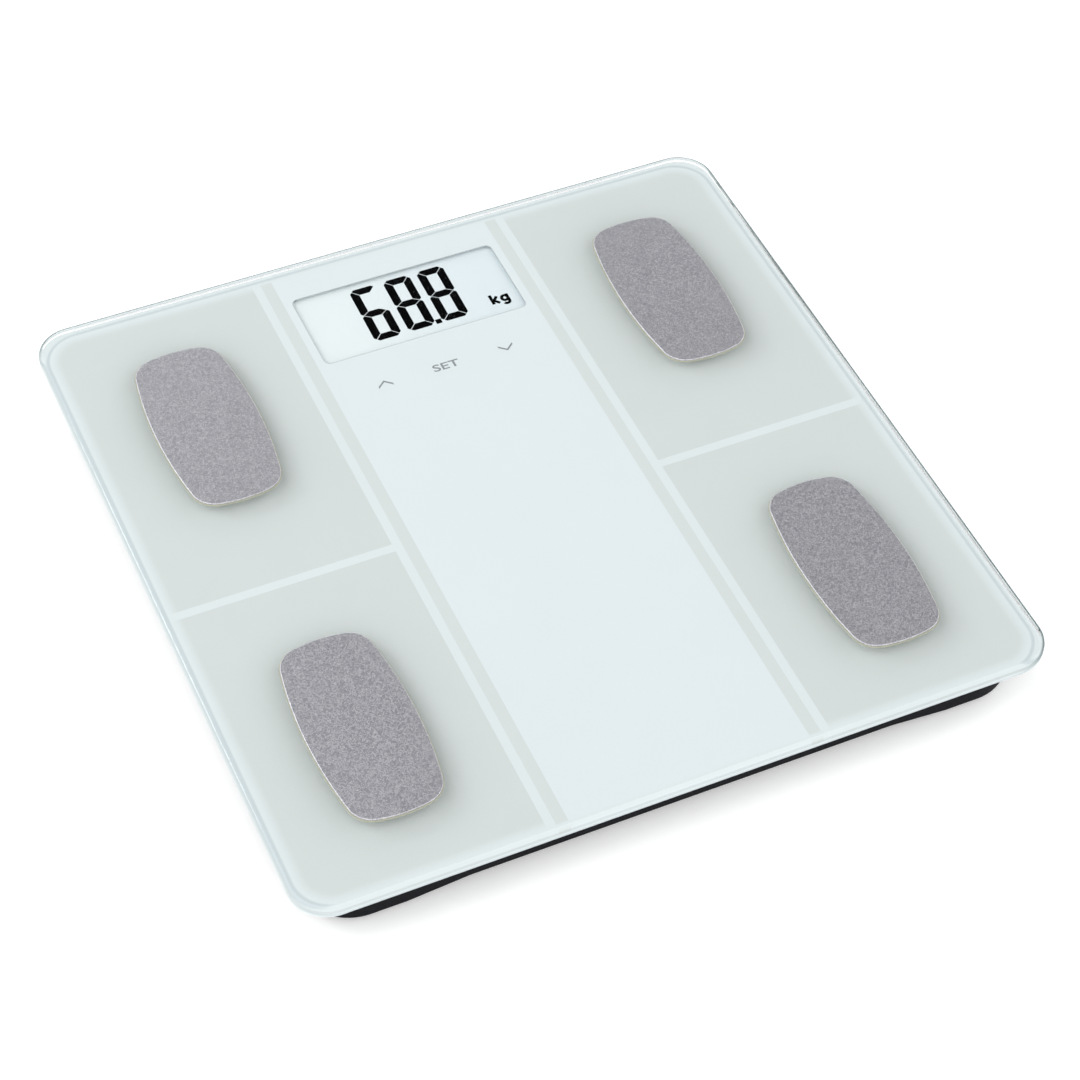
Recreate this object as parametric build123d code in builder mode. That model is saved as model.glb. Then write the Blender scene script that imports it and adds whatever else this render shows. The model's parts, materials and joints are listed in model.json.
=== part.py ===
from build123d import *
import os
from math import hypot, sqrt

os.makedirs("parts", exist_ok=True)

# A glass bathroom scale with four electrodes, standing on four load-cell feet.
# Millimetres. +X is the user's right, +Y runs to the display end, +Z is up.
# The origin is on the floor, under the middle of the glass.

# ---- Driving dimensions -------------------------------------------------------------

# Glass platform
glass_width = 300.0
glass_length = 305.0
glass_thickness = 6.0
glass_corner = 15.0
pencil_edge = 1.8

# Heights of the body under the glass
foot_drop = 3.0  # pod underside above the floor
pod_depth = 16.0  # glass underside down to the pods' underside
middle_depth = 13.0  # glass underside down to the underside between the pods
print_thickness = 0.2
tape_thickness = 0.5

# Base tray
tray_inset = 5.0  # glass edge to the tray's top edge
tray_corner = 23.0
tray_draft = 7.0  # degrees, all round
tray_wall = 2.4
tray_edge_round = 1.0
edge_band = 8.0  # lower edges this close to the tray's side are rounded
pod_past_foot = 1.2  # foot to the low end of a pod's ramp
pod_ramp = 23.7  # length of the ramp up to the middle of the tray
rib_thickness = 1.6
rib_height = 3.6
rib_end_walls = 1.3  # tray's side to a rib's end, in wall thicknesses
rib_side_gap = 12.0  # board to the ribs beside it
rib_past_electrode = 11.0  # front electrodes' middle to the first cross rib
rib_past_bay = 30.7  # bay's middle to the second cross rib
rib_past_board = 6.0  # board's front edge to the third cross rib
rest_radius = 6.0  # posts that the middle of the glass rests on

# Electrodes
electrode_width = 42.0
electrode_length = 85.0
electrode_thickness = 0.7
electrode_side_arc = 188.0
electrode_end_arc = 50.0
electrode_corner = 10.0
electrode_edge_round = 0.35
electrode_side_inset = 49.5  # glass edge to an electrode's middle
electrode_back_inset = 74.0
electrode_front_inset = 70.0
gasket_thickness = 0.3
gasket_border = 0.35
stud_radius = 2.0
stud_length = 12.0
stud_clearance = 0.5
tag_radius = 4.5
tag_thickness = 0.5
tag_tail = 11.0
nut_across_flats = 7.0
nut_height = 2.4

# Display
window_width = 88.4
window_length = 39.4
window_corner = 2.5
window_inset = 38.1  # back edge of the glass to the window's middle
lcd_border = 2.0  # panel beyond the window, each side
lcd_thickness = 2.2
lcd_recess = 1.0  # printed film down to the panel
backlight_thickness = 2.2
zebra_width = 1.8
frame_wall = 2.6
frame_lip = 0.5
frame_gap = 0.2

# Main board and touch keys
board_thickness = 1.6
board_side_margin = 9.0  # display frame to the board's side edge
board_reach = 50.4  # window's middle to the board's front edge
board_screw_inset = 4.5
key_pitch = 26.4
key_spacing = 39.7  # window's middle to the row of keys
key_radius = 4.0

# Screws: one size holds the board and the load-cell seats
screw_shank = 1.0
screw_pass_gap = 0.3
screw_head = 2.2
screw_head_height = 1.4
screw_grip = 3.0  # depth of a pilot hole
screw_tip_gap = 0.4
screw_slot = 0.5
screw_slot_reach = 1.3  # length of the cross slot, in head radii
post_radius = 3.2

# Feet
foot_margin = 5.7  # tray edge to a load-cell seat
foot_radius = 13.0
foot_gap = 0.5
foot_flange = 1.4
foot_flange_thickness = 1.2
foot_travel = 0.8
foot_boss = 4.0
boss_rise = 1.26  # boss above the foot's flange
pad_radius = 12.0
pad_thickness = 1.8
pad_seat = 0.9
pad_groove = 0.4
seat_gap = 0.2  # flange above the pod floor at rest

# Load cells
cell_overlap = 0.2  # how far the cell's corners reach past its seat
cell_corner = 5.0
cell_thickness = 2.4
cell_slot = 2.0
cell_tongue = 11.0
cell_gap = 0.3  # foot boss to the cell with the foot pushed right up
seat_wall = 1.8
seat_play = 0.6
ear_thickness = 1.4
ear_spacing = 4.2  # seat to the middle of its screw ears
gauge_length = 8.0
gauge_width = 5.0
gauge_thickness = 0.6

# Coin cells, their bay and its door
coin_radius = 10.0
coin_thickness = 3.2
coin_spacing = 4.4
coin_side_gap = 2.8
coin_can_share = 0.75  # wide can's share of the thickness
coin_cap_step = 1.2
coin_edge = 0.4
coin_end_gap = 3.0
bay_spacing = 34.0  # board's front edge to the bay's middle
bay_wall = 1.5
contact_space = 1.2
contact_thickness = 0.3
tab_width = 3.0
tab_inset = 2.0  # bay's back wall to the row of solder tabs
tab_offset = 6.0  # tabs beside the middle and beside each cell's middle
tab_rise = 2.4  # tabs above the bay's roof
leaf_back_gap = 0.5
leaf_bend = 4.0  # cell's middle to where the leaf spring starts down
leaf_tip = 3.0  # cell's middle to the spring's free end
clip_drop = 0.2
door_thickness = 1.8
door_lap = 3.0
door_gap = 0.5
door_collar = 3.0
door_collar_height = 4.0
hinge_pin = 0.5
hinge_pin_reach = 1.6
press_pad = 0.5
coin_lift = 0.1
latch_width = 10.0
latch_length = 8.0
latch_slot = 0.8

# Unit button under the board
button_x = 36.0
button_spacing = 12.0  # board's front edge to the button
button_radius = 4.0
button_gap = 0.4
button_flange = 1.5
button_flange_thickness = 0.8
button_recess = 0.4
button_travel = 0.6
button_edge = 0.4
button_nub = 1.5
switch_size = 6.0
switch_height = 1.5
switch_gap = 0.1
switch_corner = 0.8
switch_body_share = 0.7  # the rest of the height is the plunger's

# Leads
cell_lead = 2.0
electrode_lead = 1.4
battery_lead = 1.2
socket_height = 3.0
socket_depth = 4.0
socket_width = 6.0
front_socket_width = 4.5
socket_past_edge = 1.0  # board's edge to the sockets along its front
lead_over_board = 1.5
front_socket_steps = (16.0, 26.0)  # board's side edge to the two sockets at its front
cell_socket_shift = 6.0  # gauge to its lead's socket, along the board's side
electrode_socket_shift = 8.0

# Board chips: across, behind the front edge, width, length and height
chips = [
    (-40.0, 13.0, 7.0, 5.0, 1.5),
    (13.0, 10.0, 10.0, 10.0, 1.6),
    (-13.0, 8.0, 4.0, 3.0, 1.0),
    (40.0, 14.0, 3.8, 8.0, 3.5),
]
board_corner = 2.0
gauge_corner = 1.0

# Clearance between small pieces that fit together
fine_gap = 0.1

# ---- Heights and places that follow -------------------------------------------------

glass_z = foot_drop + pod_depth
glass_top = glass_z + glass_thickness
film_z = glass_z - print_thickness
tray_top = film_z - tape_thickness
pod_z = foot_drop
middle_z = glass_z - middle_depth
pod_floor = pod_z + tray_wall
middle_floor = middle_z + tray_wall
rib_top = middle_floor + rib_height
floor_middle = middle_z + tray_wall / 2  # half-way through the tray's floor

tray_width = glass_width - 2 * tray_inset
tray_length = glass_length - 2 * tray_inset

seat_inner = foot_radius + foot_flange + seat_play
seat_outer = seat_inner + seat_wall
seat_pocket = seat_outer + 0.5 * seat_play
foot_inset = seat_outer + foot_margin
pod_flat = foot_inset + foot_radius + pod_past_foot
pod_reach = pod_flat + pod_ramp
foot_x = tray_width / 2 - foot_inset
foot_y = tray_length / 2 - foot_inset
corners = {
    "back_left": (-1, 1),
    "back_right": (1, 1),
    "front_left": (-1, -1),
    "front_right": (1, -1),
}
foot_places = [(sx * foot_x, sy * foot_y) for sx, sy in corners.values()]

flange_z = pod_floor + seat_gap
flange_top = flange_z + foot_flange_thickness
boss_top = flange_top + boss_rise
cell_z = boss_top + foot_travel + cell_gap
cell_top = cell_z + cell_thickness
cell_size = 2 * ((seat_outer + cell_overlap - cell_corner) / sqrt(2) + cell_corner)
ear_z = cell_z - ear_thickness
ear_reach = seat_outer + ear_spacing
ear_share = (foot_inset + ear_reach - pod_flat) / (pod_reach - pod_flat)
ear_underside = pod_z + (middle_z - pod_z) * min(max(ear_share, 0.0), 1.0)

window_y = glass_length / 2 - window_inset
key_y = window_y - key_spacing
lcd_width = window_width + 2 * lcd_border
lcd_length = window_length + 2 * lcd_border
lcd_z = film_z - lcd_recess - lcd_thickness
board_top = lcd_z - backlight_thickness
board_z = board_top - board_thickness
frame_width = lcd_width + 2 * (frame_gap + frame_wall)
frame_length = lcd_length + 2 * (frame_gap + frame_wall)
board_width = frame_width + 2 * board_side_margin
board_back_y = window_y + frame_length / 2
board_front_y = window_y - board_reach
button_y = board_front_y + button_spacing
board_length = board_back_y - board_front_y
board_y = (board_front_y + board_back_y) / 2
board_screw_x = board_width / 2 - board_screw_inset
board_screw_places = [
    (x, y)
    for x in (-board_screw_x, board_screw_x)
    for y in (board_front_y + board_screw_inset, board_back_y - board_screw_inset)
]

bay_y = board_front_y - bay_spacing
coin_pitch = 2 * coin_radius + coin_spacing
bay_width = coin_pitch + 2 * (coin_radius + coin_side_gap)
bay_length = 2 * (coin_radius + coin_end_gap)
door_width = bay_width + 2 * door_lap
door_length = bay_length + 2 * door_lap
door_top = middle_z + door_thickness
coin_z = door_top + press_pad + coin_lift
bay_roof = coin_z + coin_thickness + contact_space
bay_top = bay_roof + bay_wall
hinge_y = bay_y - door_length / 2 + door_thickness / 2
hinge_z = middle_z + door_thickness / 2
coin_places = [(x, bay_y) for x in (-coin_pitch / 2, coin_pitch / 2)]
tab_y = bay_y + bay_length / 2 - tab_inset
tab_places = [(sx * x, tab_y) for sx in (-1, 1) for x in (tab_offset, coin_pitch / 2 + tab_offset)]

plate_z = glass_top + gasket_thickness
electrode_offset = glass_width / 2 - electrode_side_inset
back_electrode_y = glass_length / 2 - electrode_back_inset
front_electrode_y = electrode_front_inset - glass_length / 2
electrode_places = {
    name: (sx * electrode_offset, back_electrode_y if sy > 0 else front_electrode_y)
    for name, (sx, sy) in corners.items()
}
tag_z = film_z - tag_thickness
nut_z = tag_z - nut_height

pilot_radius = screw_shank + fine_gap
pass_radius = screw_shank + screw_pass_gap
rib_x = board_width / 2 + rib_side_gap
rib_rows = [
    front_electrode_y + rib_past_electrode,
    bay_y - rib_past_bay,
    board_front_y - rib_past_board,
]
rest_places = [(sx * rib_x, y) for sx in (-1, 1) for y in rib_rows[:2]]


def save(piece, name):
    """Labels a finished piece and writes it under its node name."""
    piece.part.label = name
    export_step(piece.part, f"parts/{name}.step")


# ---- Glass, print and electrodes ----------------------------------------------------


def make_glass_platform():
    """Toughened plate with a pencil edge and a stud hole under each electrode."""
    with BuildPart() as glass_platform:
        with BuildSketch(Plane.XY.offset(glass_z)):
            RectangleRounded(glass_width, glass_length, glass_corner)
            with Locations(*electrode_places.values()):
                Circle(stud_radius + stud_clearance, mode=Mode.SUBTRACT)
        extrude(amount=glass_thickness)
        top = glass_platform.faces().sort_by(Axis.Z)[-1]
        bottom = glass_platform.faces().sort_by(Axis.Z)[0]
        fillet(top.outer_wire().edges() + bottom.outer_wire().edges(), pencil_edge)
    save(glass_platform, "glass_platform")


def make_back_print():
    """Printed film on the flat underside of the glass, open at the display."""
    with BuildPart() as back_print:
        with BuildSketch(Plane.XY.offset(film_z)):
            RectangleRounded(
                glass_width - 2 * pencil_edge,
                glass_length - 2 * pencil_edge,
                glass_corner - pencil_edge,
            )
            with Locations((0, window_y)):
                RectangleRounded(window_width, window_length, window_corner, mode=Mode.SUBTRACT)
            with Locations(*electrode_places.values()):
                Circle(stud_radius + stud_clearance, mode=Mode.SUBTRACT)
        extrude(amount=print_thickness)
    save(back_print, "back_print")


def electrode_outline(border):
    """Barrel outline: bowed sides and ends on long arcs, with rounded corners."""
    half_width = electrode_width / 2 + border
    half_length = electrode_length / 2 + border
    side = electrode_side_arc + border
    end = electrode_end_arc + border
    with BuildSketch() as outline:
        with Locations((half_width - side, 0)):
            Circle(side)
        with Locations((side - half_width, 0)):
            Circle(side, mode=Mode.INTERSECT)
        with Locations((0, half_length - end)):
            Circle(end, mode=Mode.INTERSECT)
        with Locations((0, end - half_length)):
            Circle(end, mode=Mode.INTERSECT)
        fillet(outline.vertices(), electrode_corner + border)
    return outline.sketch


def make_electrodes():
    """Four stainless plates, each bonded to the glass by its own gasket."""
    for name, (x, y) in electrode_places.items():
        with BuildPart() as gasket:
            with BuildSketch(Plane((x, y, glass_top))):
                add(electrode_outline(gasket_border))
                Circle(stud_radius + stud_clearance, mode=Mode.SUBTRACT)
            extrude(amount=gasket_thickness)
        save(gasket, f"gasket_{name}")
        with BuildPart() as electrode:
            with BuildSketch(Plane((x, y, plate_z))):
                add(electrode_outline(0))
            extrude(amount=electrode_thickness)
            fillet(electrode.faces().sort_by(Axis.Z)[-1].edges(), electrode_edge_round)
        save(electrode, f"electrode_{name}")


def make_electrode_fixings():
    """Studs welded under the plates, with a solder tag and a nut below the film."""
    with BuildPart() as studs:
        with BuildSketch(Plane.XY.offset(plate_z - stud_length)):
            with Locations(*electrode_places.values()):
                Circle(stud_radius)
        extrude(amount=stud_length)
    save(studs, "electrode_studs")
    with BuildPart() as tags:
        with BuildSketch(Plane.XY.offset(tag_z)):
            for x, y in electrode_places.values():
                inward = -1 if x > 0 else 1
                with Locations((x, y)):
                    Circle(tag_radius)
                with Locations((x + inward * tag_tail / 2, y)):
                    Rectangle(tag_tail, tag_radius)
                with Locations((x, y)):
                    Circle(stud_radius + fine_gap, mode=Mode.SUBTRACT)
        extrude(amount=tag_thickness)
    save(tags, "electrode_tags")
    with BuildPart() as nuts:
        with BuildSketch(Plane.XY.offset(nut_z)):
            with Locations(*electrode_places.values()):
                RegularPolygon(nut_across_flats / 2, 6, major_radius=False)
                Circle(stud_radius + fine_gap, mode=Mode.SUBTRACT)
        extrude(amount=nut_height)
    save(nuts, "electrode_nuts")


# ---- Base tray ----------------------------------------------------------------------


def channel_profile(half_span, lift):
    """Cut between two pods: flat in the middle, a ramp down each side, open below."""
    kink = half_span - pod_reach
    foot = half_span - pod_flat
    past = 2.0 * (foot - kink) / (middle_z - pod_z)
    low = pod_z + lift - 2.0
    with BuildSketch() as profile:
        with BuildLine():
            Polyline(
                (-foot - past, low),
                (-kink, middle_z + lift),
                (kink, middle_z + lift),
                (foot + past, low),
                close=True,
            )
        make_face()
    return profile.sketch


def tray_volume(wall, edge_round):
    """The tray's outer form, or its cavity when it is drawn one wall inside."""
    with BuildPart() as volume:
        with BuildSketch(Plane((0, 0, tray_top), x_dir=(1, 0, 0), z_dir=(0, 0, -1))):
            RectangleRounded(tray_width - 2 * wall, tray_length - 2 * wall, tray_corner - wall)
        extrude(amount=tray_top - pod_z - wall, taper=tray_draft)
        with BuildSketch(Plane.XZ):
            add(channel_profile(tray_width / 2, wall))
        extrude(amount=glass_length, both=True, mode=Mode.SUBTRACT)
        with BuildSketch(Plane.YZ):
            add(channel_profile(tray_length / 2, wall))
        extrude(amount=glass_width, both=True, mode=Mode.SUBTRACT)
        if edge_round:
            highest = tray_top - tray_edge_round
            low_edges = volume.edges().filter_by(lambda edge: edge.bounding_box().max.Z < highest)
            on_side = low_edges.filter_by(
                lambda edge: abs(edge.center().X) > tray_width / 2 - edge_band
                or abs(edge.center().Y) > tray_length / 2 - edge_band
                or hypot(edge.center().X, edge.center().Y) > foot_x + foot_y - 5 * edge_band
            )
            fillet(on_side, edge_round)
    return volume.part


def seat_ears(sx, sy):
    """Middles of the two screw ears of one load-cell seat, on its inward sides."""
    x, y = sx * foot_x, sy * foot_y
    return [(x - sx * ear_reach, y), (x, y - sy * ear_reach)]


ear_places = [place for sx, sy in corners.values() for place in seat_ears(sx, sy)]


def cylinders(places, radius, low, high):
    """Upright cylinders: posts when they are added, and holes when they are cut."""
    with BuildPart() as group:
        with BuildSketch(Plane.XY.offset(low)):
            with Locations(*places):
                Circle(radius)
        extrude(amount=high - low)
    return group.part


def make_base_tray():
    """Moulded tray: four pods, ribs, posts, the coin-cell bay and the button hole."""
    outer = tray_volume(0, tray_edge_round)
    cavity = tray_volume(tray_wall, 0)
    with BuildPart() as base_tray:
        add(outer)
        add(cavity, mode=Mode.SUBTRACT)
        # Ribs run into the wall, but not as far as its outer face.
        with BuildSketch(Plane.XY.offset(floor_middle)):
            rib_start = rib_end_walls * tray_wall - tray_length / 2
            rib_end = rib_rows[-1]
            with Locations(*[(sx * rib_x, (rib_start + rib_end) / 2) for sx in (-1, 1)]):
                Rectangle(rib_thickness, rib_end - rib_start)
            with Locations(*[(0, y) for y in rib_rows]):
                Rectangle(tray_width - 2 * rib_end_walls * tray_wall, rib_thickness)
        extrude(amount=rib_top - floor_middle)
        add(cylinders(rest_places, rest_radius, floor_middle, tray_top))
        add(cylinders(board_screw_places, post_radius, floor_middle, board_z))
        # A flat pocket for each seat reaches a little way into its pod's ramps.
        add(cylinders(foot_places, seat_pocket, pod_floor, middle_floor), mode=Mode.SUBTRACT)
        add(cylinders(ear_places, post_radius, ear_underside + tray_wall / 2, ear_z))
        for places, top in ((board_screw_places, board_z), (ear_places, ear_z)):
            add(cylinders(places, pilot_radius, top - screw_grip, top), mode=Mode.SUBTRACT)
        with BuildSketch(Plane.XY.offset(middle_z)):
            with Locations((0, bay_y)):
                collar = door_gap + door_collar
                RectangleRounded(door_width + 2 * collar, door_length + 2 * collar, collar)
        extrude(amount=door_collar_height)
        with BuildSketch(Plane.XY.offset(middle_z)):
            with Locations((0, bay_y)):
                Rectangle(bay_width + 2 * bay_wall, bay_length + 2 * bay_wall)
        extrude(amount=bay_top - middle_z)
        with BuildSketch(Plane.XY.offset(middle_z)):
            with Locations((0, bay_y)):
                recess_width, recess_length = door_width + 2 * door_gap, door_length + 2 * door_gap
                RectangleRounded(recess_width, recess_length, door_gap)
        extrude(amount=door_thickness + coin_lift, mode=Mode.SUBTRACT)
        with BuildSketch(Plane.XY.offset(middle_z)):
            with Locations((0, bay_y)):
                Rectangle(bay_width, bay_length)
        extrude(amount=bay_roof - middle_z, mode=Mode.SUBTRACT)
        # Slots in the bay's roof for the contacts' solder tabs.
        with BuildSketch(Plane.XY.offset(bay_roof)):
            with Locations(*tab_places):
                Rectangle(tab_width + 2 * fine_gap, 2 * contact_thickness)
        extrude(amount=bay_wall, mode=Mode.SUBTRACT)
        # Blind sockets for the door's hinge pins.
        with BuildSketch(Plane.YZ.offset(-door_width / 2 - door_gap - hinge_pin_reach)):
            with Locations((hinge_y, hinge_z)):
                Circle(hinge_pin + fine_gap)
        extrude(amount=door_width + 2 * (door_gap + hinge_pin_reach), mode=Mode.SUBTRACT)
        # Finger scoop beside the door's latch.
        with BuildSketch(Plane.XY.offset(middle_z)):
            with Locations((0, bay_y + door_length / 2 + door_gap)):
                Circle(latch_width / 2)
        extrude(amount=door_thickness / 2, mode=Mode.SUBTRACT)
        hole_radius = button_radius + button_gap
        add(cylinders([(button_x, button_y)], hole_radius, middle_z, middle_floor), mode=Mode.SUBTRACT)
        add(cylinders(foot_places, foot_radius + foot_gap, pod_z, pod_floor), mode=Mode.SUBTRACT)
    save(base_tray, "base_tray")


def make_bonding_tape():
    """Foam tape on the tray's rim, with a disc on each glass rest."""
    with BuildPart() as bonding_tape:
        with BuildSketch(Plane.XY.offset(tray_top)):
            RectangleRounded(tray_width, tray_length, tray_corner)
            RectangleRounded(
                tray_width - 2 * tray_wall,
                tray_length - 2 * tray_wall,
                tray_corner - tray_wall,
                mode=Mode.SUBTRACT,
            )
            with Locations(*rest_places):
                Circle(rest_radius)
        extrude(amount=tape_thickness)
    save(bonding_tape, "bonding_tape")


# ---- Feet and load cells ------------------------------------------------------------


def make_foot(name, sx, sy):
    """Foot cup that slides in its pod, with a grooved rubber pad under it."""
    middle = (sx * foot_x, sy * foot_y)
    with BuildPart() as cup:
        with BuildSketch(Plane((*middle, pad_seat))):
            Circle(foot_radius)
        extrude(amount=flange_z - pad_seat)
        fillet(cup.faces().sort_by(Axis.Z)[0].edges(), pad_groove)
        with BuildSketch(Plane((*middle, flange_z))):
            Circle(foot_radius + foot_flange)
        extrude(amount=foot_flange_thickness)
        with BuildSketch(Plane((*middle, flange_top))):
            Circle(foot_boss)
        extrude(amount=boss_top - flange_top)
        with BuildSketch(Plane((*middle, pad_seat))):
            Circle(pad_radius + fine_gap)
        extrude(amount=pad_thickness - pad_seat, mode=Mode.SUBTRACT)
    save(cup, f"foot_cup_{name}")
    with BuildPart() as pad:
        with BuildSketch(Plane((*middle, 0))):
            Circle(pad_radius)
        extrude(amount=pad_thickness)
        with BuildSketch(Plane((*middle, 0))):
            for share in (0.5, 0.75):
                Circle(share * pad_radius + pad_groove)
                Circle(share * pad_radius - pad_groove, mode=Mode.SUBTRACT)
        extrude(amount=pad_groove, mode=Mode.SUBTRACT)
    save(pad, f"foot_pad_{name}")


def make_load_cell(name, sx, sy):
    """Stamped steel cell: an outer frame and a tongue, parted by a C-shaped slot."""
    with BuildPart() as load_cell:
        with BuildSketch(Plane((sx * foot_x, sy * foot_y, cell_z))):
            RectangleRounded(cell_size, cell_size, cell_corner)
            slot_span = cell_tongue + 2 * cell_slot
            with Locations((0, -sy * cell_slot)):
                Rectangle(slot_span, slot_span, mode=Mode.SUBTRACT)
            with Locations((0, -sy * 2 * cell_slot)):
                Rectangle(cell_tongue, slot_span + 2 * cell_slot)
        extrude(amount=cell_thickness)
    save(load_cell, f"load_cell_{name}")


def make_cell_seat(name, sx, sy):
    """Ring that carries the load cell round the foot's flange, with two screw ears."""
    x, y = sx * foot_x, sy * foot_y
    with BuildPart() as cell_seat:
        with BuildSketch(Plane((x, y, pod_floor))):
            Circle(seat_outer)
        extrude(amount=cell_z - pod_floor)
        with BuildSketch(Plane.XY.offset(ear_z)):
            for ear in seat_ears(sx, sy):
                along_x = abs(ear[0] - x) > 1
                with Locations(((x + ear[0]) / 2, (y + ear[1]) / 2)):
                    reach, width = ear_reach, 2 * post_radius
                    Rectangle(reach if along_x else width, width if along_x else reach)
                with Locations(ear):
                    Circle(post_radius)
        extrude(amount=ear_thickness)
        with BuildSketch(Plane((x, y, pod_floor))):
            Circle(seat_inner)
        extrude(amount=cell_z - pod_floor, mode=Mode.SUBTRACT)
        with BuildSketch(Plane.XY.offset(ear_z)):
            with Locations(*seat_ears(sx, sy)):
                Circle(pass_radius)
        extrude(amount=ear_thickness, mode=Mode.SUBTRACT)
        # Two clips stand beside the cell, on the sides away from the ears.
        with BuildSketch(Plane.XY.offset(cell_z)):
            clip = (cell_size / 2 + seat_outer) / 2 + fine_gap
            with Locations((x + sx * clip, y)):
                Rectangle(seat_outer - cell_size / 2 - fine_gap, 2 * post_radius)
            with Locations((x, y + sy * clip)):
                Rectangle(2 * post_radius, seat_outer - cell_size / 2 - fine_gap)
        extrude(amount=cell_thickness)
    save(cell_seat, f"cell_seat_{name}")


def make_strain_gauges():
    """A potted gauge across the root of each load cell's tongue."""
    with BuildPart() as strain_gauges:
        with BuildSketch(Plane.XY.offset(cell_top)):
            for sx, sy in corners.values():
                with Locations((sx * foot_x, sy * (foot_y - cell_tongue / 2))):
                    RectangleRounded(gauge_length, gauge_width, gauge_corner)
        extrude(amount=gauge_thickness)
    save(strain_gauges, "strain_gauges")


def make_screws(name, places, under_head, cover):
    """Pan-head screws, in their pilot holes, holding a layer of the given cover."""
    grip = screw_grip - screw_tip_gap
    with BuildPart() as screws:
        with BuildSketch(Plane.XY.offset(under_head - cover - grip)):
            with Locations(*places):
                Circle(screw_shank)
        extrude(amount=cover + grip)
        with BuildSketch(Plane.XY.offset(under_head)):
            with Locations(*places):
                Circle(screw_head)
        extrude(amount=screw_head_height)
        with BuildSketch(Plane.XY.offset(under_head + screw_head_height)):
            with Locations(*places):
                Rectangle(screw_slot, screw_slot_reach * screw_head)
                Rectangle(screw_slot_reach * screw_head, screw_slot)
        extrude(amount=-screw_head_height / 2, mode=Mode.SUBTRACT)
    save(screws, name)


# ---- Display, board and keys --------------------------------------------------------


def make_display():
    """Liquid-crystal panel over its backlight, in a frame that stands on the board."""
    with BuildPart() as lcd_panel:
        with BuildSketch(Plane((0, window_y, lcd_z))):
            Rectangle(lcd_width, lcd_length)
        extrude(amount=lcd_thickness)
    save(lcd_panel, "lcd_panel")
    with BuildPart() as backlight:
        with BuildSketch(Plane((0, window_y, board_top))):
            Rectangle(window_width, window_length)
        extrude(amount=backlight_thickness)
    save(backlight, "backlight")
    with BuildPart() as zebra_strips:
        strip_y = lcd_length / 2 - zebra_width / 2
        with BuildSketch(Plane((0, window_y, board_top))):
            with Locations((0, strip_y), (0, -strip_y)):
                Rectangle(window_width, zebra_width)
        extrude(amount=backlight_thickness)
    save(zebra_strips, "zebra_strips")
    with BuildPart() as lcd_frame:
        with BuildSketch(Plane((0, window_y, board_top))):
            RectangleRounded(frame_width, frame_length, frame_wall)
            Rectangle(lcd_width + 2 * frame_gap, lcd_length + 2 * frame_gap, mode=Mode.SUBTRACT)
        extrude(amount=lcd_z + lcd_thickness - board_top)
        with BuildSketch(Plane((0, window_y, lcd_z + lcd_thickness))):
            RectangleRounded(frame_width, frame_length, frame_wall)
            Rectangle(window_width + lcd_border, window_length + lcd_border, mode=Mode.SUBTRACT)
        extrude(amount=frame_lip)
    save(lcd_frame, "lcd_frame")


def make_main_board():
    """Circuit board on four posts, with its controller, sockets and key contacts."""
    with BuildPart() as main_board:
        with BuildSketch(Plane.XY.offset(board_z)):
            with Locations((0, board_y)):
                RectangleRounded(board_width, board_length, board_corner)
            with Locations(*board_screw_places):
                Circle(pass_radius, mode=Mode.SUBTRACT)
        extrude(amount=board_thickness)
    save(main_board, "main_board")
    with BuildPart() as board_chips:
        for x, from_front, size_x, size_y, height in chips:
            with BuildSketch(Plane((x, board_front_y + from_front, board_top))):
                Rectangle(size_x, size_y)
            extrude(amount=height)
    save(board_chips, "board_chips")
    with BuildPart() as key_contacts:
        with BuildSketch(Plane((0, key_y, board_top))):
            with Locations((-key_pitch, 0), (0, 0), (key_pitch, 0)):
                Circle(key_radius)
        extrude(amount=film_z - board_top)
    save(key_contacts, "key_contacts")
    with BuildPart() as unit_switch:
        body_height = switch_body_share * switch_height
        with BuildSketch(Plane((button_x, button_y, board_z - body_height))):
            RectangleRounded(switch_size, switch_size, switch_corner)
        extrude(amount=body_height)
        with BuildSketch(Plane((button_x, button_y, board_z - switch_height))):
            Circle(button_nub)
        extrude(amount=switch_height - body_height)
    save(unit_switch, "unit_switch")


def make_unit_button():
    """Button in the tray floor that pushes the switch under the board."""
    face_z = middle_z + button_recess
    flange = middle_floor + seat_gap
    nub_top = board_z - switch_height - switch_gap - button_travel
    with BuildPart() as unit_button:
        with BuildSketch(Plane((button_x, button_y, face_z))):
            Circle(button_radius)
        extrude(amount=flange - face_z)
        fillet(unit_button.faces().sort_by(Axis.Z)[0].edges(), button_edge)
        with BuildSketch(Plane((button_x, button_y, flange))):
            Circle(button_radius + button_flange)
        extrude(amount=button_flange_thickness)
        with BuildSketch(Plane((button_x, button_y, flange))):
            Circle(button_nub)
        extrude(amount=nub_top - flange)
    save(unit_button, "unit_button")


# ---- Coin cells, contacts and door --------------------------------------------------

def make_coin_cells():
    """Two lithium coin cells, their wide faces towards the door."""
    for name, (x, y) in zip(("left", "right"), coin_places):
        with BuildPart() as coin:
            can = coin_can_share * coin_thickness
            with BuildSketch(Plane((x, y, coin_z))):
                Circle(coin_radius)
            extrude(amount=can)
            with BuildSketch(Plane((x, y, coin_z + can))):
                Circle(coin_radius - coin_cap_step)
            extrude(amount=coin_thickness - can)
            fillet(coin.faces().sort_by(Axis.Z)[0].edges(), coin_edge)
        save(coin, f"coin_cell_{name}")


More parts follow.
